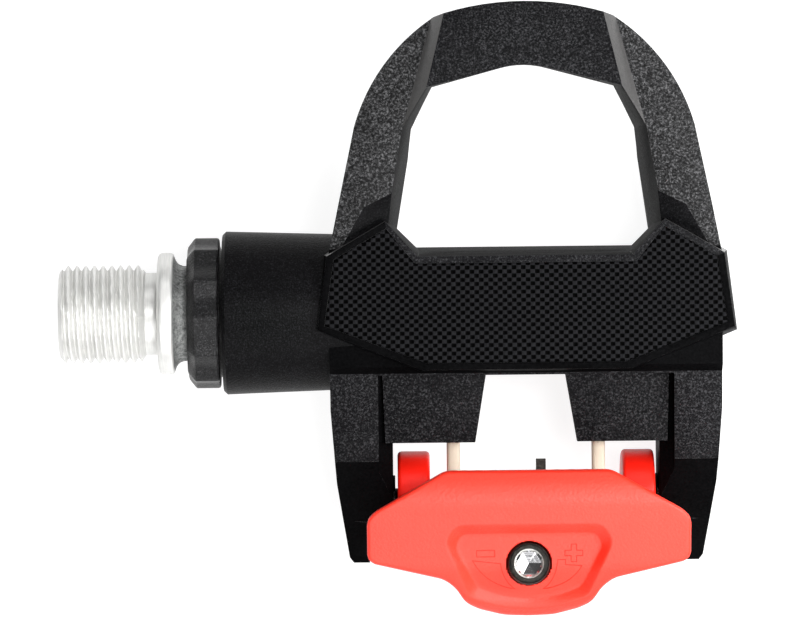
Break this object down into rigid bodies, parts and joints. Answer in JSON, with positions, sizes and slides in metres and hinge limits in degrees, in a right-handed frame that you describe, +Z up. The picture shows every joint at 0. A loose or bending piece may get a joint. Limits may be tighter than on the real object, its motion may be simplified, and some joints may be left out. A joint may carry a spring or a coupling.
{
  "type": "clipless bicycle pedal",
  "caption": "Right-hand road clipless pedal with threaded spindle, open nose loop, woven tread and red sprung rear latch.",
  "frame": {"origin": "middle of the crank thread, on the spindle axis", "axes": "+X along the spindle away from the crank, +Y towards the nose, +Z up out of the tread"},
  "size_m": [0.0986, 0.0883, 0.0301],
  "materials": {
    "machined_steel": "turned",
    "bearing_steel": "ground",
    "black_nylon": "grained moulding",
    "lockring_nylon": "smooth moulding",
    "woven_composite": "woven",
    "red_nylon": "satin moulding",
    "spring_steel": "nickel plated",
    "black_screw": "black oxide",
    "brass": "machined",
    "seal_rubber": "matt",
    "bushing_polymer": "smooth",
    "cage_polymer": "smooth"
  },
  "bodies": {
    "spindle": {"spindle": "machined_steel", "axle_nut": "bearing_steel", "axle_washer": "bearing_steel", "ball_bearing_inner_race": "bearing_steel"},
    "pedal": {"pedal_body": "black_nylon", "tread_plate": "woven_composite", "lockring": "lockring_nylon", "lip_seal": "seal_rubber", "o_ring": "seal_rubber", "needle_cup": "bearing_steel", "ball_bearing_outer_race": "bearing_steel", "bearing_circlip": "spring_steel", "pivot_pin": "bearing_steel", "spring_sleeve": "bushing_polymer", "spring_left": "spring_steel", "spring_right": "spring_steel"},
    "needle_carrier": {"needle_cage": "cage_polymer", "needle_rollers": "bearing_steel"},
    "ball_carrier": {"ball_cage": "cage_polymer", "bearing_balls": "bearing_steel"},
    "latch": {"latch": "red_nylon", "latch_bushings": "bushing_polymer", "screw_insert": "brass"},
    "tension_plate": {"tension_plate": "black_screw"},
    "tension_screw": {"tension_screw": "black_screw"}
  },
  "joints": [
    {"name": "pedal_spin", "type": "hinge", "parent": "spindle", "child": "pedal", "pos_m": [0, 0, 0], "axis": [1, 0, 0], "continuous": true},
    {"name": "needle_cage_spin", "type": "hinge", "parent": "spindle", "child": "needle_carrier", "pos_m": [0, 0, 0], "axis": [1, 0, 0], "continuous": true},
    {"name": "ball_cage_spin", "type": "hinge", "parent": "spindle", "child": "ball_carrier", "pos_m": [0, 0, 0], "axis": [1, 0, 0], "continuous": true},
    {"name": "latch_pivot", "type": "hinge", "parent": "pedal", "child": "latch", "pos_m": [0.0613, -0.0279, -0.002], "axis": [1, 0, 0], "range_deg": [0, 20], "stiffness_Nm_per_rad": 3, "springref_deg": -51.57, "deforming": ["spring_left", "spring_right"]},
    {"name": "tension_plate_slide", "type": "slide", "parent": "latch", "child": "tension_plate", "axis": [0, 0, 1], "range_m": [0, 0.0016]},
    {"name": "tension_screw_turn", "type": "hinge", "parent": "tension_plate", "child": "tension_screw", "pos_m": [0.0613, -0.0363, 0.01], "axis": [0, 0, 1], "range_deg": [0, 720]}
  ],
  "couplings": [
    {"joint": "needle_cage_spin", "follows": "pedal_spin", "ratio": 0.5569},
    {"joint": "ball_cage_spin", "follows": "pedal_spin", "ratio": 0.6162},
    {"joint": "tension_screw_turn", "follows": "tension_plate_slide", "rad_per_m": 7854}
  ]
}
